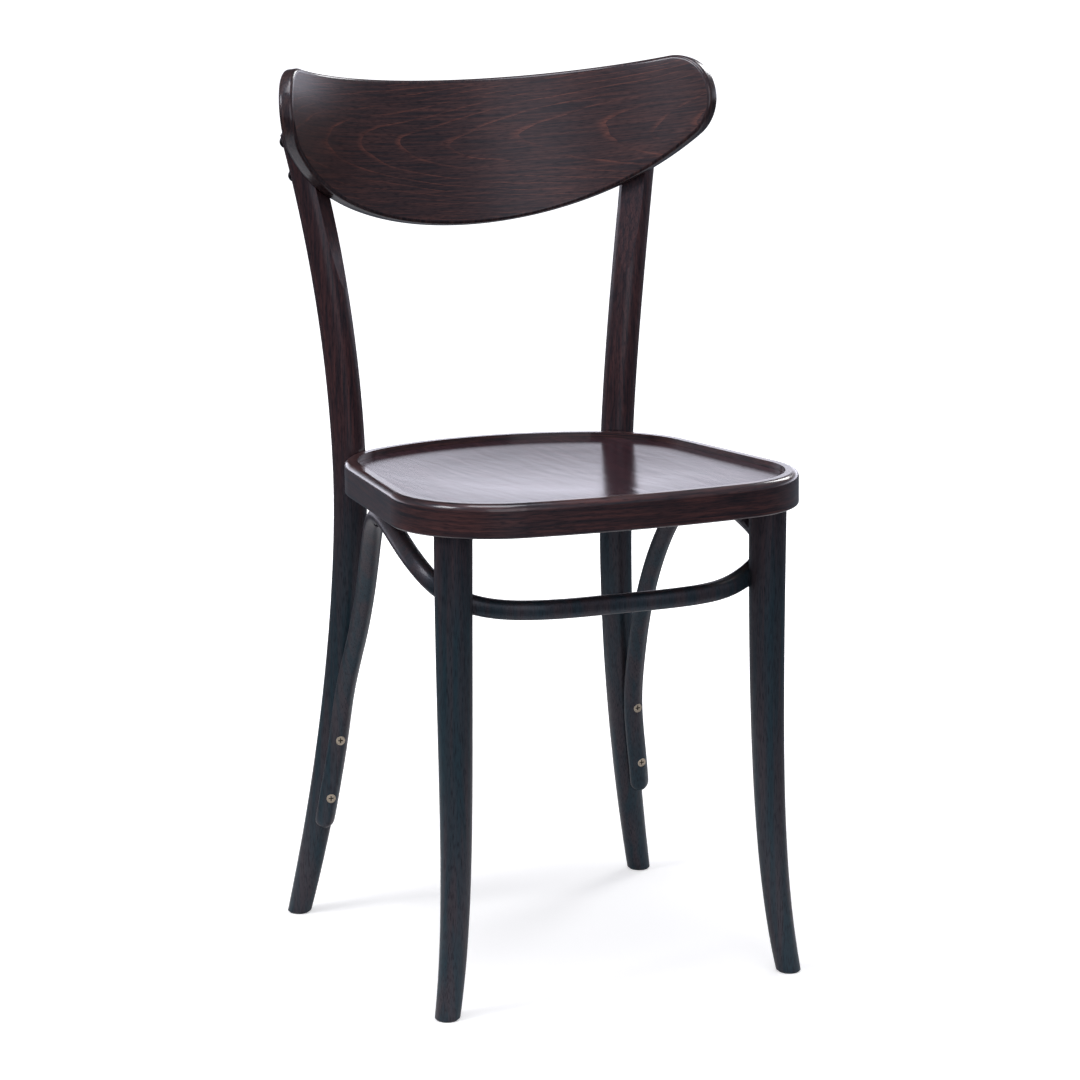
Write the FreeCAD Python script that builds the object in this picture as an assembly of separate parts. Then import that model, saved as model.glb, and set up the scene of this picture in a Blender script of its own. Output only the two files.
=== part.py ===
import FreeCAD
import Part
import math
import os
from FreeCAD import Vector, Base

# Wooden chair with a bent seat ring, a moulded crescent backrest, two bent
# rear legs that run up into posts, two front legs kicked out at the foot and
# one long bent brace that ties all four legs under the seat.
# Millimetres. +Z is up, the front of the chair looks along -Y, and the chair
# is symmetric about the plane X = 0.

# Seat ring, in its own plane, seen from above
SEAT_WIDTH = 380.0
SEAT_DEPTH = 378.0
SEAT_HEIGHT = 460.0
SEAT_TILT = 1.5
FRONT_EDGE_RADIUS = 870.0
FRONT_CORNER_RADIUS = 95.0
SIDE_LEAN = 7.0
REAR_EDGE_RADIUS = 250.0
REAR_EDGE_ANGLE = 26.0
RING_HEIGHT = 30.0
RING_WOOD = 29.0
RIM_WIDTH = 12.0
RIM_STEP = 5.5
RING_TOP_ROUND = 6.0
RING_BOTTOM_ARRIS = 2.0

# Seat panel let into the ring
PANEL_THICKNESS = 7.5
PANEL_CLEARANCE = 0.3
PANEL_DISH = 2.0
PANEL_DISH_RADIUS = 5200.0

# Rear legs and posts
REAR_LEG_BEARING = 37.0
REAR_LEG_NOTCH = 1.5
REAR_KNEE_HEIGHT = 404.0
REAR_FOOT_OUT = 43.2
REAR_FOOT_BACK = 35.5
POST_TOP_HEIGHT = 752.0
POST_TOP_OUT = 39.6
POST_TOP_BACK = 28.1
POST_TOP_CHAMFER = 6.0
POST_RADIUS = 15.6
REAR_FOOT_RADIUS = 11.1

# Front legs
FRONT_LEG_INSET = 27.2
FRONT_LEG_BEARING = -33.8
FRONT_FOOT_OUT = 16.4
FRONT_FOOT_FORWARD = 21.2
FRONT_LEG_RADIUS = 16.8
FRONT_FOOT_RADIUS = 11.2
TENON_RADIUS = 10.0
TENON_LENGTH = 15.0
FOOT_CHAMFER = 2.0

# Backrest panel, bent to a cylinder whose axis leans back
BACK_BEND_RADIUS = 245.5
BACK_LEAN = 11.7
BACK_THICKNESS = 13.2
BACK_EDGE_ROUND = 3.6
BACK_HALF_SPAN = 256.5
BACK_TOP_RISE = 25.6
BACK_TOP_RADIUS = 4100.0
BACK_BOTTOM_DROP = 110.9
BACK_BOTTOM_RADIUS = 457.0
BACK_ABOVE_POST_TOP = 5.5
BACK_BEHIND_POST_TOP = 43.7
SEAT_BACK_Y = 164.0
SADDLE_BELOW_SCREW = 12.0
SADDLE_RUNOUT = 112.0

# Brace
BRACE_SIZE = 16.6
BRACE_CORNER = 5.5
BRACE_TIP_HEIGHT = 92.0
BRACE_HUG_HEIGHT = 184.0
BRACE_SIDEWAYS = 2.5
BRACE_GAP = 0.05

# Way-points of the brace's centre-line. The rise is measured from the rear
# leg's knee, the arch from the seat's front corner, the bow from the front
# leg's top; the last value of each is the height over the ring's underside.
BRACE_RISE = ((13.8, -16.8, -205.0), (9.8, -42.3, -143.0), (11.0, -70.4, -85.4), (17.5, -101.1, -39.0))
BRACE_ARCH = (66.2, 115.2)
BRACE_BOW = ((14.4, 90.2, -22.0), (14.3, 39.5, -39.5), (5.3, 19.9, -52.8), (-17.9, 9.5, -66.3), (-67.2, -13.0, -72.2))
BRACE_MIDDLE = (-9.8, -74.6)
BRACE_FRONT_SCREW_DROP = 60.0

# Corner blocks
BLOCK_HALF_WIDTH = 44.0
BLOCK_REACH = 26.0
BLOCK_TOP_GAP = 0.5

# Fasteners
FIT = 0.1
M6_RADIUS = 3.0
DOME_HEAD_RADIUS = 6.0
DOME_HEAD_HEIGHT = 4.6
INSERT_RADIUS = 4.5
BACK_INSERT_LENGTH = 9.0
SEAT_INSERT_LENGTH = 16.0
INSERT_SINK = 1.0
WASHER_RADIUS = 7.0
WASHER_THICKNESS = 1.6
BACK_HEAD_SINK = 0.3
BACK_SCREW_LEVELS = (-19.5, -50.0)
WOOD_SCREW_RADIUS = 2.1
WOOD_SCREW_HEAD_RADIUS = 4.4
WOOD_SCREW_SINK = 2.8
BRACE_REAR_SCREW_LEVELS = (121.0, 178.0)
BRACE_REAR_SCREW_LENGTH = 24.0
BRACE_FRONT_SCREW_LENGTH = 26.0
BRACE_SEAT_SCREW_LENGTH = 32.0
TENON_SCREW_LENGTH = 36.0
PANEL_SCREW_LENGTH = 20.0
PANEL_SCREW_RADIUS = 1.7
PANEL_SCREW_HEAD_RADIUS = 3.4
PANEL_SCREW_SINK = 2.2
PANEL_SCREW_FRONT_OUT = 70.0
PANEL_SCREW_SIDE_BACK = 45.0
PANEL_SCREW_REAR_TURN = 15.6

UP = Vector(0, 0, 1)
RAD = math.radians
SEAT_FRONT_Y = SEAT_BACK_Y - SEAT_DEPTH


# Centres, radii and lengths of the tangent arcs that draw the seat ring.
def ring_plan():
    f, rc, rb = FRONT_EDGE_RADIUS, FRONT_CORNER_RADIUS, REAR_EDGE_RADIUS
    s, a4 = RAD(SIDE_LEAN), RAD(REAR_EDGE_ANGLE)
    a1 = math.asin((SEAT_WIDTH / 2 - rc) / (f - rc))
    c1 = Vector((f - rc) * math.sin(a1), SEAT_FRONT_Y + f - (f - rc) * math.cos(a1), 0)
    right1 = c1.x + rc * math.cos(s) - rb * math.sin(a4)
    right2 = SEAT_BACK_Y - rb + rb * math.cos(a4) - c1.y - rc * math.sin(s)
    m11, m12 = math.sin(s), math.cos(s) - math.sin(a4)
    m21, m22 = math.cos(s), math.cos(a4) - math.sin(s)
    det = m11 * m22 - m12 * m21
    side = (right1 * m22 - m12 * right2) / det
    r2 = (m11 * right2 - m21 * right1) / det
    c2 = Vector((rb - r2) * math.sin(a4), SEAT_BACK_Y - rb + (rb - r2) * math.cos(a4), 0)
    return a1, c1, side, r2, c2


A1, C1, SIDE_LENGTH, REAR_CORNER_RADIUS, C2 = ring_plan()


def unit(angle):
    return Vector(math.cos(angle), math.sin(angle), 0)


def flip(p):
    return Vector(-p.x, p.y, p.z)


def arc_edge(centre, radius, start, end):
    p0 = centre + unit(start) * radius
    pm = centre + unit((start + end) / 2) * radius
    p1 = centre + unit(end) * radius
    return p0, pm, p1


# Closed outline of the seat ring, drawn in by an inset, at height z.
def ring_wire(inset, z):
    s, a4 = RAD(SIDE_LEAN), RAD(REAR_EDGE_ANGLE)
    quarter = math.pi / 2
    front = Vector(0, SEAT_FRONT_Y + FRONT_EDGE_RADIUS, 0)
    rear = Vector(0, SEAT_BACK_Y - REAR_EDGE_RADIUS, 0)
    fr = FRONT_EDGE_RADIUS - inset
    cr = FRONT_CORNER_RADIUS - inset
    br = REAR_CORNER_RADIUS - inset
    rr = REAR_EDGE_RADIUS - inset
    arcs = [arc_edge(front, fr, -quarter - A1, -quarter + A1)]
    arcs.append(arc_edge(C1, cr, -quarter + A1, s))
    arcs.append((C1 + unit(s) * cr, None, C2 + unit(s) * br))
    arcs.append(arc_edge(C2, br, s, quarter - a4))
    arcs.append(arc_edge(rear, rr, quarter - a4, quarter + a4))
    mirrored = []
    for p0, pm, p1 in arcs[1:4]:
        mirrored.append((flip(p1), flip(pm) if pm else None, flip(p0)))
    arcs += reversed(mirrored)
    edges = []
    lift = Vector(0, 0, z)
    for p0, pm, p1 in arcs:
        if pm is None:
            edges.append(Part.LineSegment(p0 + lift, p1 + lift).toShape())
        else:
            edges.append(Part.Arc(p0 + lift, pm + lift, p1 + lift).toShape())
    return Part.Wire(edges)


def slab(wire, height):
    return Part.Face(wire).extrude(Vector(0, 0, height))


def rod(start, direction, radius, length):
    return Part.makeCylinder(radius, length, start, direction)


# Front leg's axis meets the ring's underside here.
FRONT_TOP = C1 + unit(RAD(FRONT_LEG_BEARING)) * (FRONT_CORNER_RADIUS - FRONT_LEG_INSET)
RING_BOTTOM = SEAT_HEIGHT - RING_HEIGHT
PIVOT = Vector(0, FRONT_TOP.y, RING_BOTTOM)


# Move a shape or a point from the ring's own level plane to the tilted seat.
def seated(shape):
    moved = shape.copy()
    moved.translate(Vector(0, 0, RING_BOTTOM))
    moved.rotate(PIVOT, Vector(1, 0, 0), -SEAT_TILT)
    return moved


def seat_point(p):
    tilt = FreeCAD.Rotation(Vector(1, 0, 0), -SEAT_TILT)
    return PIVOT + tilt.multVec(p + Vector(0, 0, RING_BOTTOM) - PIVOT)


SEAT_NORMAL = seat_point(UP) - seat_point(Vector(0, 0, 0))

# Rear leg's centre at the knee, behind the ring's rear corner.
REAR_KNEE = C2 + unit(RAD(90 - REAR_LEG_BEARING)) * (REAR_CORNER_RADIUS + POST_RADIUS - REAR_LEG_NOTCH)


def rear_centre(z):
    if z <= REAR_KNEE_HEIGHT:
        t = (REAR_KNEE_HEIGHT - z) / REAR_KNEE_HEIGHT
        return Vector(REAR_KNEE.x + REAR_FOOT_OUT * t**1.9, REAR_KNEE.y + REAR_FOOT_BACK * t**1.4, z)
    t = (z - REAR_KNEE_HEIGHT) / (POST_TOP_HEIGHT - REAR_KNEE_HEIGHT)
    return Vector(REAR_KNEE.x + POST_TOP_OUT * t**1.75, REAR_KNEE.y + POST_TOP_BACK * t**2.65, z)


def rear_radius(z):
    t = max(0.0, 1 - z / RING_BOTTOM)
    return POST_RADIUS - (POST_RADIUS - REAR_FOOT_RADIUS) * t**1.9


def front_centre(z):
    t = max(0.0, 1 - z / RING_BOTTOM)
    return Vector(FRONT_TOP.x + FRONT_FOOT_OUT * t**4.8, FRONT_TOP.y - FRONT_FOOT_FORWARD * t**2.2, z)


def front_radius(z):
    t = max(0.0, 1 - z / RING_BOTTOM)
    return FRONT_LEG_RADIUS - (FRONT_LEG_RADIUS - FRONT_FOOT_RADIUS) * t**1.5


def slope(centre, z):
    step = centre(z + 1) - centre(z - 1)
    step.normalize()
    return step


# Tapered bent rod through circles square to its centre-line, with a level
# foot and a small chamfer round the foot.
def bent_rod(centre, radius, top, count):
    wires = []
    for i in range(count + 1):
        z = top * i / count
        axis = UP if i == 0 else slope(centre, min(z, top - 1))
        wires.append(Part.Wire([Part.makeCircle(radius(z), centre(z), axis)]))
    body = Part.makeLoft(wires, True, False)
    c = FOOT_CHAMFER
    foot = centre(0)
    sheath = rod(foot - UP, UP, radius(0) + 10, c + 1)
    core = Part.makeCone(radius(0) - c - 1, radius(0), c + 1, foot - UP, UP)
    return body.cut(sheath.cut(core))


# Backrest: half outline in the unrolled panel, s along the bend, h up.
BACK_AXIS = Vector(0, math.sin(RAD(BACK_LEAN)), math.cos(RAD(BACK_LEAN)))
BACK_OUT = Vector(0, math.cos(RAD(BACK_LEAN)), -math.sin(RAD(BACK_LEAN)))
BACK_MIDDLE_HEIGHT = POST_TOP_HEIGHT + BACK_ABOVE_POST_TOP
BACK_MIDDLE_Y = REAR_KNEE.y + POST_TOP_BACK + BACK_BEHIND_POST_TOP
BACK_CENTRE = Vector(0, BACK_MIDDLE_Y, BACK_MIDDLE_HEIGHT) - BACK_OUT * BACK_BEND_RADIUS


def back_point(s, h, off):
    a = s / BACK_BEND_RADIUS
    r = BACK_BEND_RADIUS + off
    return BACK_CENTRE + BACK_AXIS * h + Vector(1, 0, 0) * (r * math.sin(a)) + BACK_OUT * (r * math.cos(a))


# End arc that touches the top arc and the bottom arc and reaches the span.
def back_end():
    low, high = 5.0, 80.0
    top = BACK_TOP_RISE + BACK_TOP_RADIUS
    bottom = BACK_BOTTOM_RADIUS - BACK_BOTTOM_DROP
    for _ in range(60):
        r = (low + high) / 2
        c = BACK_HALF_SPAN - r
        d = top - math.sqrt((BACK_TOP_RADIUS + r) ** 2 - c * c)
        if math.hypot(c, d - bottom) > BACK_BOTTOM_RADIUS - r:
            high = r
        else:
            low = r
    return r, c, d, top, bottom


def back_outline(inset):
    r, c, d, top, bottom = back_end()
    turn_top = math.atan2(c, top - d)
    turn_low = math.atan2(c, bottom - d)
    first = math.atan2(top - d, -c)
    last = math.atan2(d - bottom, c)
    half = []
    for i in range(12):
        a = turn_top * i / 12
        half.append(((BACK_TOP_RADIUS + inset) * math.sin(a), top - (BACK_TOP_RADIUS + inset) * math.cos(a)))
    for i in range(17):
        a = first + (last - first) * i / 16
        half.append((c + (r - inset) * math.cos(a), d + (r - inset) * math.sin(a)))
    for i in range(1, 15):
        a = turn_low * (1 - i / 14)
        half.append(((BACK_BOTTOM_RADIUS - inset) * math.sin(a), bottom - (BACK_BOTTOM_RADIUS - inset) * math.cos(a)))
    return half + [(-s, h) for s, h in half[-2:0:-1]]


def back_loop(inset, off):
    points = [back_point(s, h, off) for s, h in back_outline(inset)]
    curve = Part.BSplineCurve()
    marks = [i / len(points) for i in range(len(points) + 1)]
    curve.interpolate(Points=points, Parameters=marks, PeriodicFlag=True)
    return curve.toShape()


def backrest_panel():
    half = BACK_THICKNESS / 2
    e = BACK_EDGE_ROUND
    rim = []
    for i in range(4):
        a = math.pi / 2 * i / 3
        rim.append((e * (1 - math.sin(a)), -half + e * (1 - math.cos(a))))
    rim += [(inset, -off) for inset, off in reversed(rim)]
    loops = [back_loop(inset, off) for inset, off in rim]
    faces = [Part.makeRuledSurface(loops[i], loops[i + 1]) for i in range(len(loops) - 1)]
    for loop, off in ((loops[0], -half), (loops[-1], half)):
        skin = Part.Cylinder()
        skin.Radius = BACK_BEND_RADIUS + off
        skin.Center = BACK_CENTRE
        skin.Axis = BACK_AXIS
        face = Part.Face(skin, Part.Wire([loop]))
        face.validate()
        faces.append(face)
    shell = Part.makeShell(faces)
    shell.sewShape()
    body = Part.makeSolid(shell.Shells[0])
    if body.Volume < 0:
        body.reverse()
    return body


# Brace centre-line, from the tip on the right rear leg to the middle of the
# bow under the seat's front.
def hug(z):
    away = rear_radius(z) + BRACE_SIZE / 2 + BRACE_GAP
    return rear_centre(z) + Vector(BRACE_SIDEWAYS, -math.sqrt(away**2 - BRACE_SIDEWAYS**2), 0)


def brace_points():
    arch = Vector(C1.x + BRACE_ARCH[0], C1.y + BRACE_ARCH[1], -BRACE_SIZE / 2 - BRACE_GAP)
    knee = Vector(REAR_KNEE.x, REAR_KNEE.y, RING_BOTTOM)
    points = [hug(BRACE_TIP_HEIGHT), hug((BRACE_TIP_HEIGHT + BRACE_HUG_HEIGHT) / 2), hug(BRACE_HUG_HEIGHT)]
    points += [knee + Vector(*offset) for offset in BRACE_RISE]
    points.append(seat_point(arch))
    points += [FRONT_TOP + Vector(x, y, RING_BOTTOM + z) for x, y, z in BRACE_BOW]
    points.append(Vector(0, FRONT_TOP.y + BRACE_MIDDLE[0], RING_BOTTOM + BRACE_MIDDLE[1]))
    return points


def brace_curve():
    half = brace_points()
    curve = Part.BSplineCurve()
    curve.interpolate(half + [flip(p) for p in half[-2::-1]])
    return curve


# Control points of a rounded square round a point, in the plane of two unit
# directions. Three to a side: two along the flat and one drawn in at the corner.
def brace_ring(p, u, v, scale):
    a = BRACE_SIZE / 2 * scale
    corner = (6 * (a - BRACE_CORNER * scale * (1 - math.sqrt(0.5))) - 1.48 * a) / 4
    points = []
    for i in range(4):
        q = i * math.pi / 2
        cu, cv = math.cos(q), math.sin(q)
        du, dv = u * cu + v * cv, v * cu - u * cv
        points.append(p + du * (1.03 * a) - dv * (0.45 * a))
        points.append(p + du * (1.03 * a) + dv * (0.45 * a))
        points.append(p + du * corner + dv * corner)
    return points


# One smooth skin along the brace's centre-line, closed by a flat at each tip.
def brace_body():
    curve = brace_curve()
    first, last = curve.FirstParameter, curve.LastParameter
    middle = (first + last) / 2
    count = 64
    length = curve.length(first, middle)
    stops = [(0.0, 0.55), (1.6, 0.8), (4.2, 0.95), (8.0, 1.0)]
    stops += [(8 + (length - 8) * i / count, 1.0) for i in range(1, count + 1)]
    frames = []
    u = UP
    for far, scale in reversed(stops):
        t = curve.parameterAtDistance(far, first) if far < length - 1e-6 else middle
        p, d = curve.value(t), curve.tangent(t)[0]
        u = u - d * u.dot(d)
        u.normalize()
        frames.append((p, Vector(u), d.cross(u), scale))
    rings = [brace_ring(*f) for f in reversed(frames)]
    rings += [brace_ring(flip(p), flip(fu), flip(fv), scale) for p, fu, fv, scale in frames[1:]]
    around, along = len(rings[0]), len(rings)
    poles = [[ring[i] for ring in rings] for i in range(around)]
    marks = list(range(along - 2))
    counts = [4] + [1] * (along - 4) + [4]
    skin = Part.BSplineSurface()
    skin.buildFromPolesMultsKnots(poles, [1] * (around + 1), counts, list(range(around + 1)), marks, True, False, 3, 3)
    tube = skin.toShape()
    caps = [Part.Face(Part.Wire([e])) for e in tube.Edges if e.isClosed() and e.Length < 10 * BRACE_SIZE]
    shell = Part.makeShell([tube] + caps)
    shell.sewShape()
    body = Part.makeSolid(shell if shell.ShapeType == "Shell" else shell.Shells[0])
    if body.Volume < 0:
        body.reverse()
    return body


# Dome-head machine screw: p is the seat of the head, d points into the wood.
def dome_screw(p, d, length):
    h, r = DOME_HEAD_HEIGHT, DOME_HEAD_RADIUS
    ball = (r * r + h * h) / (2 * h)
    dome = Part.makeSphere(ball, p + d * (ball - h))
    head = dome.common(rod(p - d * h, d, r + 1, h))
    key = Part.makePolygon([Vector(2 * math.cos(RAD(60 * i)), 2 * math.sin(RAD(60 * i)), 0) for i in range(7)])
    pocket = Part.Face(key).extrude(Vector(0, 0, 2))
    pocket.Placement = FreeCAD.Placement(p - d * (h + 0.1), FreeCAD.Rotation(UP, d))
    return head.cut(pocket).fuse(rod(p, d, M6_RADIUS, length)).removeSplitter()


def sleeve(p, d, outer, inner, length):
    return rod(p, d, outer, length).cut(rod(p - d, d, inner, length + 2))


# Countersunk wood screw with a cross recess, its head flush at p.
def wood_screw(p, d, radius, head, sink, length):
    cone = Part.makeCone(head, radius, sink, p, d)
    shank = rod(p, d, radius, length - radius * 2)
    point = Part.makeCone(radius, 0.3, radius * 2, p + d * (length - radius * 2), d)
    body = cone.fuse(shank).fuse(point).removeSplitter()
    side = d.cross(UP)
    if side.Length < 0.1:
        side = d.cross(Vector(1, 0, 0))
    side.normalize()
    other = d.cross(side)
    for along, across in ((side, other), (other, side)):
        w, l = head * 0.13, head * 0.55
        corners = [along * i + across * j for i, j in ((-l, -w), (l, -w), (l, w), (-l, w), (-l, -w))]
        slot = Part.Face(Part.makePolygon([p - d * 0.1 + c for c in corners])).extrude(d * (sink * 0.7))
        body = body.cut(slot)
    return body


def screw_hole(p, d, radius, head, sink, length):
    cone = Part.makeCone(head + FIT, radius + FIT, sink, p, d)
    return cone.fuse(rod(p - d * 4, d, head + FIT, 4)).fuse(rod(p, d, radius + FIT, length + 0.5))


def mirror(shape):
    return shape.mirror(Vector(0, 0, 0), Vector(1, 0, 0))


def both(shapes):
    return Part.makeCompound(shapes + [mirror(s) for s in shapes])


def ring_body():
    outer = slab(ring_wire(0, 0), RING_HEIGHT)
    top = [e for e in outer.Edges if e.BoundBox.ZMin > RING_HEIGHT - 0.01]
    low = [e for e in outer.Edges if e.BoundBox.ZMax < 0.01]
    outer = outer.makeFillet(RING_TOP_ROUND, top)
    low = [e for e in outer.Edges if e.BoundBox.ZMax < 0.01]
    outer = outer.makeFillet(RING_BOTTOM_ARRIS, low)
    ledge = RING_HEIGHT - RIM_STEP - PANEL_THICKNESS
    outer = outer.cut(slab(ring_wire(RIM_WIDTH, ledge), RING_HEIGHT))
    return outer.cut(slab(ring_wire(RING_WOOD, -1), RING_HEIGHT)), ledge


def panel_body(ledge):
    body = slab(ring_wire(RIM_WIDTH + PANEL_CLEARANCE, ledge), PANEL_THICKNESS)
    middle = Vector(0, (SEAT_FRONT_Y + SEAT_BACK_Y) / 2, ledge + PANEL_THICKNESS - PANEL_DISH + PANEL_DISH_RADIUS)
    return body.cut(Part.makeSphere(PANEL_DISH_RADIUS, middle))


def corner_block(ledge):
    inner = slab(ring_wire(RING_WOOD, 0), ledge - BLOCK_TOP_GAP)
    out = unit(RAD(FRONT_LEG_BEARING))
    side = Vector(-out.y, out.x, 0)
    back = FRONT_TOP - out * BLOCK_REACH
    w = BLOCK_HALF_WIDTH
    corners = [back - side * w, back + out * 80 - side * w, back + out * 80 + side * w, back + side * w]
    corners.append(corners[0])
    return inner.common(slab(Part.makePolygon(corners), ledge)), back, out


parts = {}
ring, ledge = ring_body()
panel = panel_body(ledge)
block, block_face, block_out = corner_block(ledge)
tenon_hole = rod(FRONT_TOP - UP, UP, TENON_RADIUS + FIT, TENON_LENGTH + 1 + FIT)
ring = ring.cut(tenon_hole).cut(mirror(tenon_hole))
block = block.cut(tenon_hole)

# Screws up through the ring's ledge into the panel.
panel_screws = []
mid = (RIM_WIDTH + RING_WOOD) / 2
out = PANEL_SCREW_FRONT_OUT
spots = [Vector(out, SEAT_FRONT_Y + mid + out * out / 2 / FRONT_EDGE_RADIUS, 0)]
back = Vector(-math.tan(RAD(SIDE_LEAN)), 1, 0) * PANEL_SCREW_SIDE_BACK
spots.append(C1 + unit(RAD(SIDE_LEAN)) * (FRONT_CORNER_RADIUS - mid) + back)
rear_middle = Vector(0, SEAT_BACK_Y - REAR_EDGE_RADIUS, 0)
spots.append(rear_middle + unit(RAD(90 - PANEL_SCREW_REAR_TURN)) * (REAR_EDGE_RADIUS - mid))
spec = (PANEL_SCREW_RADIUS, PANEL_SCREW_HEAD_RADIUS, PANEL_SCREW_SINK, PANEL_SCREW_LENGTH)
for p in spots:
    panel_screws.append(wood_screw(p, UP, *spec))
    hole = screw_hole(p, UP, *spec)
    for h in (hole, mirror(hole)):
        ring = ring.cut(h)
        panel = panel.cut(h)

# Screws from the corner blocks into the tenons.
spec = (WOOD_SCREW_RADIUS, WOOD_SCREW_HEAD_RADIUS, WOOD_SCREW_SINK, TENON_SCREW_LENGTH)
p = block_face + UP * (TENON_LENGTH / 2)
tenon_screw = seated(wood_screw(p, block_out, *spec))
tenon_screw_hole = screw_hole(p, block_out, *spec)
block = block.cut(tenon_screw_hole)
ring = ring.cut(tenon_screw_hole).cut(mirror(tenon_screw_hole))

ring = seated(ring)
panel = seated(panel)
block = seated(block)
panel_screws = [seated(s) for s in panel_screws]

# Front leg with its tenon square to the tilted seat.
front = bent_rod(front_centre, front_radius, RING_BOTTOM + RING_HEIGHT / 2, 12)
above = Part.makeBox(2 * SEAT_WIDTH, 2 * SEAT_DEPTH, SEAT_HEIGHT, Vector(-SEAT_WIDTH, -SEAT_DEPTH, 0))
front = front.cut(seated(above))
tenon = seated(rod(FRONT_TOP - UP * 4, UP, TENON_RADIUS, TENON_LENGTH + 4))
front = front.fuse(tenon).removeSplitter()
front = front.cut(seated(tenon_screw_hole))

# Backrest and rear leg, planed to the panel's back with a run-out below.
panel_back = backrest_panel()
rear = bent_rod(rear_centre, rear_radius, POST_TOP_HEIGHT, 18)
lean = slope(rear_centre, POST_TOP_HEIGHT - 1)
shoulder = rear_centre(POST_TOP_HEIGHT) - lean * (POST_TOP_CHAMFER + 1)
tip = Part.makeCone(POST_RADIUS + 1, POST_RADIUS - POST_TOP_CHAMFER, POST_TOP_CHAMFER + 1, shoulder, lean)
rear = rear.cut(rod(shoulder, lean, 2 * POST_RADIUS, 2 * POST_TOP_CHAMFER + 1).cut(tip))
shell_radius = BACK_BEND_RADIUS + BACK_THICKNESS / 2
lowest_screw = rear_centre(BACK_MIDDLE_HEIGHT + min(BACK_SCREW_LEVELS))
foot_h = (lowest_screw - BACK_CENTRE).dot(BACK_AXIS) - SADDLE_BELOW_SCREW
saddle = rod(BACK_CENTRE + BACK_AXIS * foot_h, BACK_AXIS, shell_radius, POST_TOP_HEIGHT - RING_BOTTOM)
runout_start = BACK_CENTRE + BACK_AXIS * (foot_h - SADDLE_RUNOUT)
runout = Part.makeCone(shell_radius - 8, shell_radius, SADDLE_RUNOUT, runout_start, BACK_AXIS)
rear = rear.cut(saddle).cut(runout)
rear = rear.cut(seated(slab(ring_wire(-FIT, -1), RING_HEIGHT + 2)))

# Brace screws go through the brace, so the brace comes before its holes.
brace = brace_body()
brace = brace.cut([front, mirror(front)])
brace_holes = []

rear_screws = []
spec = (WOOD_SCREW_RADIUS, WOOD_SCREW_HEAD_RADIUS, WOOD_SCREW_SINK, BRACE_REAR_SCREW_LENGTH)
for z in BRACE_REAR_SCREW_LEVELS:
    d = rear_centre(z) - hug(z)
    d.normalize()
    p = hug(z) - d * (BRACE_SIZE / 2 - 0.2)
    rear_screws.append(wood_screw(p, d, *spec))
    hole = screw_hole(p, d, *spec)
    brace_holes += [hole, mirror(hole)]
    rear = rear.cut(hole)

# One screw from inside the brace into each front leg.
spec = (WOOD_SCREW_RADIUS, WOOD_SCREW_HEAD_RADIUS, WOOD_SCREW_SINK, BRACE_FRONT_SCREW_LENGTH)
curve = brace_curve()
near = curve.value(curve.parameter(front_centre(RING_BOTTOM - BRACE_FRONT_SCREW_DROP)))
d = front_centre(near.z) - near
d.normalize()
p = near - d * (BRACE_SIZE / 2 - 0.4)
front_screw = wood_screw(p, d, *spec)
hole = screw_hole(p, d, *spec)
brace_holes += [hole, mirror(hole)]
front = front.cut(hole)

# One screw up through each arch into the ring.
spec = (WOOD_SCREW_RADIUS, WOOD_SCREW_HEAD_RADIUS, WOOD_SCREW_SINK, BRACE_SEAT_SCREW_LENGTH)
arch = brace_points()[7]
p = arch - SEAT_NORMAL * (BRACE_SIZE / 2 - 0.2)
seat_screw = wood_screw(p, SEAT_NORMAL, *spec)
hole = screw_hole(p, SEAT_NORMAL, *spec)
brace_holes += [hole, mirror(hole)]
brace = brace.cut(brace_holes)
ring = ring.cut(hole).cut(mirror(hole))

# Bolt from inside the ring, under the panel, into an insert in each rear leg.
d = unit(RAD(90 - REAR_LEG_BEARING))
inner_wall = C2 + d * (REAR_CORNER_RADIUS - RING_WOOD) + UP * (ledge / 2)
washer_seat = seat_point(inner_wall)
d = seat_point(inner_wall + d) - washer_seat
bolt_seat = washer_seat - d * WASHER_THICKNESS
washer = sleeve(bolt_seat, d, WASHER_RADIUS, M6_RADIUS + FIT, WASHER_THICKNESS)
insert_start = washer_seat + d * (RING_WOOD + INSERT_SINK)
insert = sleeve(insert_start, d, INSERT_RADIUS, M6_RADIUS + FIT, SEAT_INSERT_LENGTH)
bolt_length = WASHER_THICKNESS + RING_WOOD + INSERT_SINK + SEAT_INSERT_LENGTH
seat_bolt = dome_screw(bolt_seat, d, bolt_length)
bolt_hole = rod(bolt_seat - d, d, M6_RADIUS + FIT, bolt_length + 2)
insert_hole = rod(insert_start - d * 6, d, INSERT_RADIUS + FIT, SEAT_INSERT_LENGTH + 6 + FIT)
rear = rear.cut(insert_hole).cut(bolt_hole)
spot_face = rod(washer_seat - d * 3, d, WASHER_RADIUS + 0.5, 3)
ring = ring.cut([bolt_hole, mirror(bolt_hole), spot_face, mirror(spot_face)])

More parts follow.
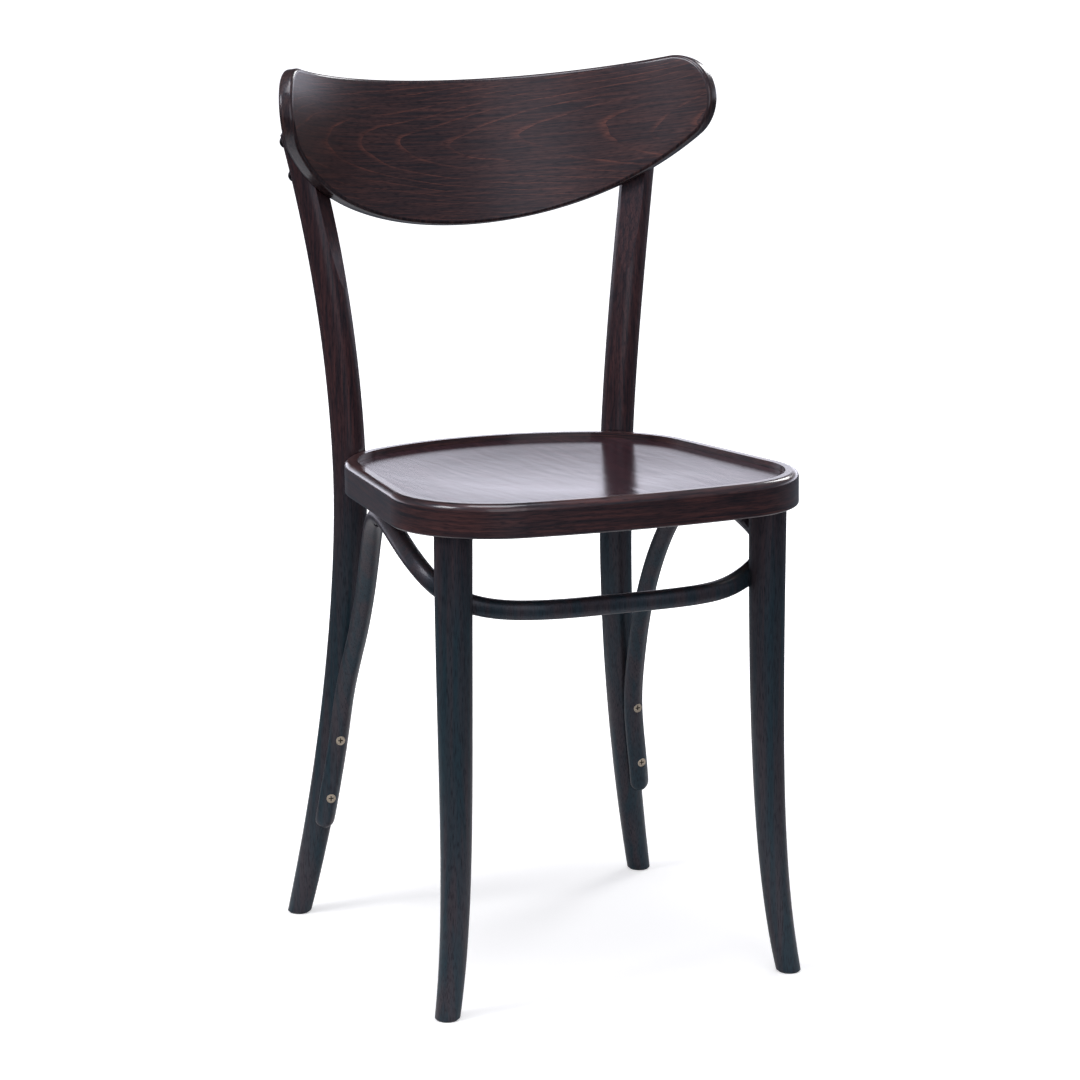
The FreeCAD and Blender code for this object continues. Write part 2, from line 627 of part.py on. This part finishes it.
# Two screws through each post into inserts in the backrest.
back_screws = []
back_inserts = []
for level in BACK_SCREW_LEVELS:
    z = BACK_MIDDLE_HEIGHT + level
    c = rear_centre(z)
    rel = c - BACK_CENTRE
    h = rel.dot(BACK_AXIS)
    axis_point = BACK_CENTRE + BACK_AXIS * h
    d = axis_point - c
    d.normalize()
    head = c - d * (POST_RADIUS - BACK_HEAD_SINK)
    skin = axis_point - d * shell_radius
    grip = (skin - head).dot(d)
    rear = rear.cut(rod(head - d * 6, d, DOME_HEAD_RADIUS + 0.5, 6))
    rear = rear.cut(rod(head - d * 2, d, M6_RADIUS + FIT, grip + 4))
    back_screws.append(dome_screw(head, d, grip + BACK_INSERT_LENGTH - 0.5))
    back_inserts.append(sleeve(skin + d * 0.3, d, INSERT_RADIUS, M6_RADIUS + FIT, BACK_INSERT_LENGTH))
    hole = rod(skin - d * 4, d, INSERT_RADIUS + FIT, BACK_INSERT_LENGTH + 4.3 + FIT)
    panel_back = panel_back.cut(hole).cut(mirror(hole))

parts["seat_ring"] = ring
parts["seat_panel"] = panel
parts["backrest"] = panel_back
parts["rear_leg_right"] = rear
parts["rear_leg_left"] = mirror(rear)
parts["front_leg_right"] = front
parts["front_leg_left"] = mirror(front)
parts["leg_brace"] = brace
parts["corner_block_right"] = block
parts["corner_block_left"] = mirror(block)
parts["backrest_screws"] = both(back_screws)
parts["backrest_inserts"] = both(back_inserts)
parts["seat_bolts"] = both([seat_bolt])
parts["seat_bolt_washers"] = both([washer])
parts["seat_bolt_inserts"] = both([insert])
parts["brace_screws_rear"] = both(rear_screws)
parts["brace_screws_front"] = both([front_screw])
parts["brace_screws_seat"] = both([seat_screw])
parts["tenon_screws"] = both([tenon_screw])
parts["panel_screws"] = both(panel_screws)

# The origin is on the floor, in the middle of the whole chair.
box = Base.BoundBox()
for shape in parts.values():
    box.add(shape.optimalBoundingBox(False, False))
shift = Vector(-box.Center.x, -box.Center.y, -box.ZMin)

os.makedirs("parts", exist_ok=True)
for name, shape in parts.items():
    moved = shape.copy()
    moved.translate(shift)
    kinds = Part.makeCompound(moved.Solids) if len(moved.Solids) > 1 else moved.Solids[0]
    kinds.exportStep("parts/" + name + ".step")
    print(name, len(moved.Solids), round(moved.Volume), moved.isValid())
print("box", round(box.XLength, 1), round(box.YLength, 1), round(box.ZLength, 1), "shift y", round(shift.y, 2))
print("side", round(SIDE_LENGTH, 1), "rear corner", round(REAR_CORNER_RADIUS, 1), "knee", REAR_KNEE, "front top", FRONT_TOP)
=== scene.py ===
import math

import bmesh
import bpy
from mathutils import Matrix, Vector


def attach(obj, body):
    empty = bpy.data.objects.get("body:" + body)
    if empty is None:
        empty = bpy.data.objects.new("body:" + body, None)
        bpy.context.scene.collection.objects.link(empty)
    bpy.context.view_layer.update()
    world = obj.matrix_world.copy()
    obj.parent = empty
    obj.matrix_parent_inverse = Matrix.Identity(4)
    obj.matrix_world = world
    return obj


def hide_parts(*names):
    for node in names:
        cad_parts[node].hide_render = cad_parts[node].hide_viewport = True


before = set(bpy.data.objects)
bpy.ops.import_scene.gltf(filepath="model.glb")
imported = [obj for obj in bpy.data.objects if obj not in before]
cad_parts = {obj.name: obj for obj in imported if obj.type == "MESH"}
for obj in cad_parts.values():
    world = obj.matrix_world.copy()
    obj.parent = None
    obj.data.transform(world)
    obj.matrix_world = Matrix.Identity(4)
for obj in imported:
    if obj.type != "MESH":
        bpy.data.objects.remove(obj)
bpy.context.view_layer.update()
MM = 0.001

# The bent back panel: its bend, its lean and the middle of its thickness.
BACK_BEND = 245.5 * MM
BACK_LEAN = math.radians(11.7)
BACK_MIDDLE = Vector((0, 206.9, 757.5)) * MM
BACK_THICKNESS = 13.2 * MM
BACK_ROUNDING = 3.6 * MM

# Its unrolled outline: the radii of the top and bottom edges, half its length, the
# height of both edges in the middle, and the range in which the end's radius lies.
BACK_TOP_RADIUS = 4100 * MM
BACK_LOW_RADIUS = 457 * MM
BACK_HALF_LENGTH = 256.5 * MM
BACK_TOP_HEIGHT = 25.6 * MM
BACK_LOW_HEIGHT = -110.9 * MM
BACK_END_RANGE = (5 * MM, 80 * MM)

# Points along the top, end and bottom arcs of half the outline, strips of the
# rounding on each side, and rows of faces between the two edges.
TOP_STEPS, END_STEPS, LOW_STEPS = 40, 40, 48
ROUND_STEPS = 8
FACE_ROWS = 10

# The seat ring's middle, about which its bent wood runs, and its mean radius.
SEAT_MIDDLE = Vector((0, -24, 437)) * MM
SEAT_RADIUS = 170 * MM

# The streaks change slowly through the depth of bent wood: the way outward counts
# for this share.
DEPTH_SHARE = 0.12

# The flame figure: the gap between its lines along the grain, how wide it opens, its
# axis below the panel's middle, and how far the drift moves a line, in gaps.
FLAME_GAP = 60 * MM
FLAME_WIDTH = 23 * MM
FLAME_AXIS = 34 * MM
FLAME_DRIFT = 1.9

# Heights between which the legs turn from the bluish painted reflection to the warm wood tone.
PAINTED_REFLECTION_TO, WARM_FROM = 340 * MM, 470 * MM

# Vertices nearer than this are one: on the seat board and on the back panel.
BOARD_WELD = 0.002 * MM
PANEL_WELD = 0.005 * MM

# Floor paper near the chair and far from it.
PAPER_NEAR = "#e8e8e8"
PAPER_FAR = "#5a626a"

# Level direction from the camera to the air behind the chair.
BEHIND = (0.4, 0.916, 0)

# Softboxes: name, place, side in metres, watts, and the height they face.
SOFTBOXES = (
    ("softbox_left", (-3.0, -0.3, 2.6), 1.2, 52, 0.5),
    ("softbox_right", (2.5, 1.6, 2.2), 1.0, 26, 0.5),
    ("softbox_front", (-0.7, -4.0, 1.7), 2.8, 30, 0.5),
    ("softbox_top", (-0.3, -0.4, 3.2), 1.6, 44, 0.4),
)


def linear(hex_colour):
    """An sRGB hex value as the linear colour that a shader takes."""
    parts = [int(hex_colour[i : i + 2], 16) / 255 for i in (1, 3, 5)]
    return tuple(c / 12.92 if c <= 0.04045 else ((c + 0.055) / 1.055) ** 2.4 for c in parts) + (1,)


def add(tree, kind, links=(), **settings):
    """A shader node with its settings. A link is (input, value or another node's output)."""
    node = tree.nodes.new(kind)
    for name, value in settings.items():
        setattr(node, name, value)
    for name, value in links:
        if isinstance(value, bpy.types.NodeSocket):
            tree.links.new(value, node.inputs[name])
        else:
            node.inputs[name].default_value = value
    return node


def finish_of(name):
    """A new material: its node tree and its surface shader."""
    material = bpy.data.materials.new(name)
    material.use_nodes = True
    return material, material.node_tree, material.node_tree.nodes["Principled BSDF"]


def ramp(tree, factor, stops):
    """A colour ramp over hex colours at given places."""
    node = add(tree, "ShaderNodeValToRGB", [("Fac", factor)])
    band = node.color_ramp
    while len(band.elements) < len(stops):
        band.elements.new(0.5)
    for element, (place, colour) in zip(band.elements, stops):
        element.position = place
        element.color = linear(colour)
    return node.outputs["Color"]


def place_along(tree, run):
    """Coordinates in metres whose Z follows the wood's fibres: up a leg, round the
    seat ring, across the back panel, or from front to back over the seat."""
    spot = add(tree, "ShaderNodeTexCoord").outputs["Object"]
    if run == "up":
        return spot
    if run == "front to back":
        split = add(tree, "ShaderNodeSeparateXYZ", [("Vector", spot)])
        return add(
            tree,
            "ShaderNodeCombineXYZ",
            [("X", split.outputs["X"]), ("Y", split.outputs["Z"]), ("Z", split.outputs["Y"])],
        ).outputs["Vector"]
    centre, rotation = SEAT_MIDDLE, (0, 0, math.pi)
    if run == "across the back":
        out = Vector((0, math.cos(BACK_LEAN), -math.sin(BACK_LEAN)))
        centre, rotation = BACK_MIDDLE - out * BACK_BEND, (-BACK_LEAN, 0, 0)
    moved = add(
        tree,
        "ShaderNodeMapping",
        [("Vector", spot), ("Location", tuple(centre)), ("Rotation", rotation)],
        vector_type="TEXTURE",
    )
    split = add(tree, "ShaderNodeSeparateXYZ", [("Vector", moved.outputs["Vector"])])
    turn = calc(tree, "ARCTAN2", split.outputs["X"], split.outputs["Y"])
    radius = BACK_BEND if run == "across the back" else SEAT_RADIUS
    length = calc(tree, "MULTIPLY", turn, radius)
    flat = add(
        tree,
        "ShaderNodeCombineXYZ",
        [("X", split.outputs["X"]), ("Y", split.outputs["Y"])],
    )
    reach = add(tree, "ShaderNodeVectorMath", [(0, flat.outputs["Vector"])], operation="LENGTH")
    across = calc(tree, "MULTIPLY", reach.outputs["Value"], DEPTH_SHARE)
    return add(
        tree,
        "ShaderNodeCombineXYZ",
        [("X", split.outputs["Z"]), ("Y", across), ("Z", length)],
    ).outputs["Vector"]


def calc(tree, operation, *values):
    """The result of one sum on numbers or node outputs."""
    return add(tree, "ShaderNodeMath", enumerate(values), operation=operation).outputs[0]


def fibre_noise(tree, along, width, length, detail):
    """Noise drawn out along the fibres: width across them and length along them."""
    stretched = add(
        tree,
        "ShaderNodeMapping",
        [("Vector", along), ("Scale", (1 / width, 1 / width, 1 / length))],
    )
    return add(
        tree,
        "ShaderNodeTexNoise",
        [("Vector", stretched.outputs["Vector"]), ("Scale", 1.0), ("Detail", detail)],
    ).outputs["Fac"]


def blended(tree, factor, first, second, way="MIX"):
    """Two colours mixed by a factor, as one colour output."""
    node = add(tree, "ShaderNodeMix", data_type="RGBA", blend_type=way)
    colours = [socket for socket in node.inputs if socket.type == "RGBA"]
    for socket, value in zip([node.inputs["Factor"], *colours[:2]], (factor, first, second)):
        if isinstance(value, bpy.types.NodeSocket):
            tree.links.new(value, socket)
        else:
            socket.default_value = value
    return [socket for socket in node.outputs if socket.type == "RGBA"][0]


def flame_figure(tree, along):
    """The tongue-shaped growth rings of a flat-sawn face: nested parabolas that open
    to the chair's right, each a thin line with one sharp side. A slow drift bends
    them, and a quicker noise breaks them up."""
    split = add(tree, "ShaderNodeSeparateXYZ", [("Vector", along)])
    high = calc(tree, "ADD", split.outputs["X"], FLAME_AXIS)
    wide = calc(tree, "DIVIDE", high, FLAME_WIDTH)
    square = calc(tree, "MULTIPLY", wide, wide)
    far = calc(tree, "DIVIDE", split.outputs["Z"], FLAME_GAP)
    level = calc(tree, "SUBTRACT", far, square)
    drift = fibre_noise(tree, along, 45 * MM, 150 * MM, 2.5)
    part = calc(tree, "FRACT", calc(tree, "MULTIPLY_ADD", drift, FLAME_DRIFT, level))
    line = add(
        tree,
        "ShaderNodeMapRange",
        [("Value", part), ("From Min", 0.8), ("From Max", 1.0)],
        interpolation_type="SMOOTHSTEP",
    )
    breaks = fibre_noise(tree, along, 12 * MM, 60 * MM, 3.0)
    kept = add(
        tree,
        "ShaderNodeMapRange",
        [("Value", breaks), ("From Min", 0.35), ("From Max", 0.65), ("To Max", 0.75)],
    )
    return calc(tree, "MULTIPLY", line.outputs["Result"], kept.outputs["Result"])


def stained_beech(
    name, run, dark, warm, roughness, lacquer, flame=None, ripple=0.0, painted_cool_reflection=None
):
    """Steam-bent beech under a dark stain and satin lacquer: the stain sinks into the
    fibres, so fine streaks 1 to 3 mm wide stay a little redder, and short darker
    pores 0.8 mm wide, drawn at twice their real width to show, lie along them.
    run: the way the fibres lie, see place_along.
    lacquer: the clear coat's weight and roughness.
    flame: the colour of the flame figure's lines, where there is one.
    ripple: the depth of the shallow waves that the lacquer follows.
    painted_cool_reflection: two bluish tones of painted reflection that take over below the seat."""
    material, tree, surface = finish_of(name)
    along = place_along(tree, run)
    broad = fibre_noise(tree, along, 9 * MM, 260 * MM, 3.0)
    fine = fibre_noise(tree, along, 2.2 * MM, 70 * MM, 4.0)
    tone = ramp(tree, fine, [(0.36, dark), (0.68, warm)])
    darker = ramp(tree, broad, [(0.35, "#000000"), (0.65, "#808080")])
    tone = blended(tree, darker, tone, linear(dark))
    # Painted reflection: under the seat the wood tone gives way to two bluish tones that stand in
    # for the surroundings the lower legs mirror.
    if painted_cool_reflection:
        spot = add(tree, "ShaderNodeTexCoord").outputs["Object"]
        height = add(tree, "ShaderNodeSeparateXYZ", [("Vector", spot)]).outputs["Z"]
        low = add(
            tree,
            "ShaderNodeMapRange",
            [
                ("Value", height),
                ("From Min", PAINTED_REFLECTION_TO),
                ("From Max", WARM_FROM),
                ("To Min", 1.0),
                ("To Max", 0.0),
            ],
        )
        below = ramp(tree, broad, [(0.42, painted_cool_reflection[0]), (0.62, painted_cool_reflection[1])])
        tone = blended(tree, low.outputs["Result"], tone, below)
    if flame:
        tone = blended(tree, flame_figure(tree, along), tone, linear(flame))
    pores = fibre_noise(tree, along, 0.8 * MM, 9 * MM, 2.0)
    shade = ramp(tree, pores, [(0.48, "#ffffff"), (0.7, "#8a8086")])
    tree.links.new(blended(tree, 1.0, tone, shade, "MULTIPLY"), surface.inputs["Base Color"])
    lift = add(
        tree,
        "ShaderNodeBump",
        [("Height", pores), ("Strength", 0.12), ("Distance", 0.1 * MM)],
    )
    if ripple:
        waves = fibre_noise(tree, along, 14 * MM, 60 * MM, 2.0)
        lift = add(
            tree,
            "ShaderNodeBump",
            [
                ("Height", waves),
                ("Strength", 1.0),
                ("Distance", ripple),
                ("Normal", lift.outputs["Normal"]),
            ],
        )
    tree.links.new(lift.outputs["Normal"], surface.inputs["Normal"])
    surface.inputs["Roughness"].default_value = roughness
    surface.inputs["IOR"].default_value = 1.45
    surface.inputs["Specular Tint"].default_value = linear("#dcdff5")
    surface.inputs["Coat Weight"].default_value = lacquer[0]
    surface.inputs["Coat Roughness"].default_value = lacquer[1]
    return material


def metal(name, colour, roughness, metallic=1.0):
    """A turned and plated screw: an even metal with faint tool marks, dark where a
    recess under 1.5 mm wide holds wax and dust."""
    material, tree, surface = finish_of(name)
    spot = add(tree, "ShaderNodeTexCoord").outputs["Object"]
    marks = add(
        tree,
        "ShaderNodeTexNoise",
        [("Vector", spot), ("Scale", 1500.0), ("Detail", 2.0)],
    )
    tone = ramp(tree, marks.outputs["Fac"], [(0.3, colour[0]), (0.7, colour[1])])
    hollow = add(tree, "ShaderNodeAmbientOcclusion", [("Distance", 1.5 * MM)], only_local=True)
    open_part = add(
        tree,
        "ShaderNodeMapRange",
        [("Value", hollow.outputs["AO"]), ("From Min", 0.7), ("From Max", 0.95)],
    )
    tree.links.new(
        blended(tree, open_part.outputs["Result"], linear("#0d0c0c"), tone),
        surface.inputs["Base Color"],
    )
    surface.inputs["Metallic"].default_value = metallic
    surface.inputs["Roughness"].default_value = roughness
    return material


def dress(node, material):
    """Gives a carried-over node its material."""
    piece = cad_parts[node]
    piece.data.materials.clear()
    piece.data.materials.append(material)


leg_wood = stained_beech(
    "stained_beech_and_painted_reflection_up_the_legs",
    "up",
    "#211619",
    "#4a2c2a",
    0.4,
    (0.15, 0.12),
    # Bluish painted reflection on the legs under the seat.
    painted_cool_reflection=("#172c33", "#332e31"),
)
ring_wood = stained_beech(
    "stained_beech_round_the_ring", "round the seat", "#1e1214", "#512f2a", 0.34, (0.8, 0.12)
)
back_wood = stained_beech(
    "stained_beech_across_the_back",
    "across the back",
    "#241c1e",
    "#50332e",
    0.42,
    (0.2, 0.34),
    flame="#744539",
    ripple=0.02 * MM,
)
rim_wood = stained_beech(
    "stained_beech_at_the_rim", "up", "#1d1416", "#46302c", 0.3, (0.5, 0.12)
)
seat_wood = stained_beech(
    "stained_plywood_seat",
    "front to back",
    "#21151b",
    "#4a2d33",
    0.19,
    (0.0, 0.1),
    ripple=0.2 * MM,
)
bare_wood = stained_beech(
    "bare_beech_blocks", "front to back", "#a67c52", "#c29a70", 0.6, (0.0, 0.3)
)
zinc = metal("zinc_plated_steel", ("#8d8d8b", "#a8a8a4"), 0.35)
black = metal("black_oxide_steel", ("#151416", "#232124"), 0.4, 0.6)
brass = metal("dulled_brass", ("#a39583", "#d4c6b2"), 0.36, 0.85)

for node in ("rear_leg_left", "rear_leg_right", "front_leg_left", "front_leg_right", "leg_brace"):
    dress(node, leg_wood)
dress("seat_ring", ring_wood)
for node in ("corner_block_left", "corner_block_right"):
    dress(node, bare_wood)
for node in (
    "backrest_inserts",
    "seat_bolt_washers",
    "seat_bolt_inserts",
    "brace_screws_front",
    "brace_screws_seat",
    "tenon_screws",
    "panel_screws",
):
    dress(node, zinc)
for node in ("backrest_screws", "seat_bolts"):
    dress(node, black)
dress("brace_screws_rear", brass)


def seat_board():
    """The let-in seat board: the panel's own faces joined along their shared edges, so
    that only edges over 20 degrees shade as sharp and the shallow dish has no rim line."""
    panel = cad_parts["seat_panel"]
    mesh = panel.data.copy()
    mesh.name = "seat_board"
    form = bmesh.new()
    form.from_mesh(mesh)
    bmesh.ops.remove_doubles(form, verts=form.verts, dist=BOARD_WELD)
    form.to_mesh(mesh)
    form.free()
    if "custom_normal" in mesh.attributes:
        mesh.attributes.remove(mesh.attributes["custom_normal"])
    mesh.shade_smooth()
    mesh.set_sharp_from_angle(angle=math.radians(20))
    mesh.materials.clear()
    mesh.materials.append(seat_wood)
    board = bpy.data.objects.new("seat_board", mesh)
    board.matrix_world = panel.matrix_world
    bpy.context.scene.collection.objects.link(board)
    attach(board, "root")
    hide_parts("seat_panel")


def back_outline(inset):
    """The unrolled crescent's outline drawn in by an inset, as (s, h) in metres from
    its middle: top arc, end arc and bottom arc, and the same mirrored. The end's
    radius is found by halving its range until the end arc touches both edges."""
    top, low = BACK_TOP_HEIGHT + BACK_TOP_RADIUS, BACK_LOW_HEIGHT + BACK_LOW_RADIUS
    short, long = BACK_END_RANGE
    for _ in range(50):
        end = (short + long) / 2
        across = BACK_HALF_LENGTH - end
        up = top - math.sqrt((BACK_TOP_RADIUS + end) ** 2 - across * across)
        if math.hypot(across, up - low) > BACK_LOW_RADIUS - end:
            long = end
        else:
            short = end
    half = []
    turn, radius = math.atan2(across, top - up), BACK_TOP_RADIUS + inset
    for i in range(TOP_STEPS):
        a = turn * i / TOP_STEPS
        half.append((radius * math.sin(a), top - radius * math.cos(a)))
    first, last = math.atan2(top - up, -across), math.atan2(up - low, across)
    for i in range(END_STEPS + 1):
        a = first + (last - first) * i / END_STEPS
        half.append((across + (end - inset) * math.cos(a), up + (end - inset) * math.sin(a)))
    turn, radius = math.atan2(across, low - up), BACK_LOW_RADIUS - inset
    for i in range(1, LOW_STEPS + 1):
        a = turn * (1 - i / LOW_STEPS)
        half.append((radius * math.sin(a), low - radius * math.cos(a)))
    return half + [(-s, h) for s, h in half[-2:0:-1]]


def back_spot(s, h, off):
    """A point of the bent panel: s along the bend, h up its lean, off from mid-thickness."""
    out = Vector((0, math.cos(BACK_LEAN), -math.sin(BACK_LEAN)))
    up = Vector((0, math.sin(BACK_LEAN), math.cos(BACK_LEAN)))
    turn, reach = s / BACK_BEND, BACK_BEND + off
    aside = Vector((reach * math.sin(turn), 0, 0))
    return BACK_MIDDLE + up * h + aside + out * (reach * math.cos(turn) - BACK_BEND)


def back_panel():
    """The moulded panel: a rounding on each side of a narrow flat edge, and two faces
    laid in rows from the top edge to the bottom edge."""
    half = BACK_THICKNESS / 2
    rim = []
    for i in range(ROUND_STEPS + 1):
        a = math.pi / 2 * i / ROUND_STEPS
        rim.append((BACK_ROUNDING * (1 - math.sin(a)), -half + BACK_ROUNDING * (1 - math.cos(a))))
    rim += [(inset, -off) for inset, off in reversed(rim)]
    verts, faces = [], []

    def quad_rows(rows, turned):
        start, wide = len(verts), len(rows[0])
        verts.extend(tuple(p) for row in rows for p in row)
        for k in range(len(rows) - 1):
            for i in range(wide - 1):
                face = [start + k * wide + i, start + k * wide + i + 1]
                face += [face[1] + wide, face[0] + wide]
                faces.append(tuple(reversed(face)) if turned else tuple(face))

    for inset, off, next_inset, next_off in [a + b for a, b in zip(rim, rim[1:])]:
        near, far = back_outline(inset), back_outline(next_inset)
        pair = [[back_spot(s, h, off) for s, h in near + near[:1]]]
        pair.append([back_spot(s, h, next_off) for s, h in far + far[:1]])
        quad_rows(pair, False)
    rim_faces = len(faces)
    edge = back_outline(BACK_ROUNDING)
    tip = len(edge) // 4
    rows = []
    for k in range(FACE_ROWS + 1):
        row = []
        for i in range(-tip, tip + 1):
            high, low = Vector(edge[abs(i)]), Vector(edge[2 * tip - abs(i)])
            s, h = high.lerp(low, k / FACE_ROWS)
            row.append((s if i >= 0 else -s, h))
        rows.append(row)
    quad_rows([[back_spot(s, h, -half) for s, h in row] for row in rows], True)
    quad_rows([[back_spot(s, h, half) for s, h in row] for row in rows], False)
    mesh = bpy.data.meshes.new("back_panel")
    mesh.from_pydata(verts, [], faces)
    form = bmesh.new()
    form.from_mesh(mesh)
    for face in form.faces:
        face.material_index = int(face.index < rim_faces)
    bmesh.ops.remove_doubles(form, verts=form.verts, dist=PANEL_WELD)
    bmesh.ops.recalc_face_normals(form, faces=form.faces)
    form.to_mesh(mesh)
    form.free()
    mesh.shade_smooth()
    panel = bpy.data.objects.new("back_panel", mesh)
    bpy.context.scene.collection.objects.link(panel)
    mesh.materials.append(back_wood)
    mesh.materials.append(rim_wood)
    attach(panel, "root")
    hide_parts("backrest")


seat_board()
back_panel()


def floor():
    """A plain pale floor that shows white to the camera and keeps the chair's shadow.
    Away from the chair it fades into the white air, so no horizon shows, and is
    dimmer to everything but the camera, as past the edge of a paper sweep."""
    bpy.ops.mesh.primitive_plane_add(size=60)
    ground = bpy.context.object
    ground.name = "studio_floor"
    material, tree, surface = finish_of("pale_floor")
    surface.inputs["Roughness"].default_value = 0.95
    surface.inputs["Specular IOR Level"].default_value = 0.1
    spot = add(tree, "ShaderNodeTexCoord").outputs["Object"]
    away = add(tree, "ShaderNodeVectorMath", [(0, spot)], operation="LENGTH").outputs["Value"]
    seen = add(tree, "ShaderNodeLightPath").outputs["Is Camera Ray"]
    paper = ramp(tree, away, [(0.55, PAPER_NEAR), (1.0, PAPER_FAR)])
    tree.links.new(blended(tree, seen, paper, linear(PAPER_NEAR)), surface.inputs["Base Color"])
    fade = add(
        tree,
        "ShaderNodeMapRange",
        [("Value", away), ("From Min", 0.45), ("From Max", 1.5), ("To Min", 0.48)],
    )
    glow = calc(tree, "MULTIPLY", fade.outputs["Result"], seen)
    surface.inputs["Emission Color"].default_value = linear("#ffffff")
    tree.links.new(glow, surface.inputs["Emission Strength"])
    ground.data.materials.append(material)


def softbox(name, place, size, power, height):
    """A square area light that faces a point at this height over the origin."""
    light = bpy.data.lights.new(name, "AREA")
    light.shape = "SQUARE"
    light.size = size
    light.energy = power
    holder = bpy.data.objects.new(name, light)
    holder.visible_camera = False
    holder.location = place
    way = Vector((0, 0, height)) - Vector(place)
    holder.rotation_euler = way.to_track_quat("-Z", "Y").to_euler()
    bpy.context.scene.collection.objects.link(holder)


def studio():
    """The air and the softboxes. The camera sees the air white. To all else it is
    bright low behind the chair, where the lacquer mirrors it at a slant, nearly dark
    higher up there, and dim in front."""
    world = bpy.data.worlds.new("studio_air")
    bpy.context.scene.world = world
    world.use_nodes = True
    tree = world.node_tree
    back = tree.nodes["Background"]
    way = add(tree, "ShaderNodeTexCoord").outputs["Generated"]
    behind = add(tree, "ShaderNodeVectorMath", [(0, way), (1, BEHIND)], operation="DOT_PRODUCT")
    air = add(
        tree,
        "ShaderNodeMapRange",
        [("Value", behind.outputs["Value"]), ("From Min", 0.1), ("From Max", 0.8)],
        interpolation_type="SMOOTHSTEP",
    )
    height = add(tree, "ShaderNodeSeparateXYZ", [("Vector", way)]).outputs["Z"]
    low = add(
        tree,
        "ShaderNodeMapRange",
        [
            ("Value", height),
            ("From Min", 0.05),
            ("From Max", 0.25),
            ("To Min", 2.6),
            ("To Max", 0.1),
        ],
        interpolation_type="SMOOTHSTEP",
    )
    glow = add(
        tree,
        "ShaderNodeMapRange",
        [("Value", air.outputs["Result"]), ("To Min", 0.4), ("To Max", low.outputs["Result"])],
    )
    seen = add(tree, "ShaderNodeLightPath").outputs["Is Camera Ray"]
    strength = add(
        tree,
        "ShaderNodeMapRange",
        [("Value", seen), ("To Min", glow.outputs["Result"])],
    )
    tree.links.new(strength.outputs["Result"], back.inputs["Strength"])
    colour = blended(tree, seen, linear("#f1f1ff"), linear("#ffffff"))
    tree.links.new(colour, back.inputs["Color"])
    for row in SOFTBOXES:
        softbox(*row)


def camera():
    """The photograph's viewpoint: about 24 degrees to the chair's left and 12 above."""
    azimuth, elevation, distance = math.radians(-23.58), math.radians(11.87), 3.434
    aim = Vector((-4.1, -3.9, 381.7)) * MM
    away = Vector(
        (
            math.sin(azimuth) * math.cos(elevation),
            -math.cos(azimuth) * math.cos(elevation),
            math.sin(elevation),
        )
    )
    eye = bpy.data.cameras.new("photograph_view")
    eye.sensor_width = 36
    eye.lens = 125.47
    holder = bpy.data.objects.new("photograph_view", eye)
    holder.location = aim + away * distance
    holder.rotation_euler = away.to_track_quat("Z", "Y").to_euler()
    bpy.context.scene.collection.objects.link(holder)
    bpy.context.scene.camera = holder


floor()
studio()
camera()
bpy.context.scene.view_settings.view_transform = "Standard"
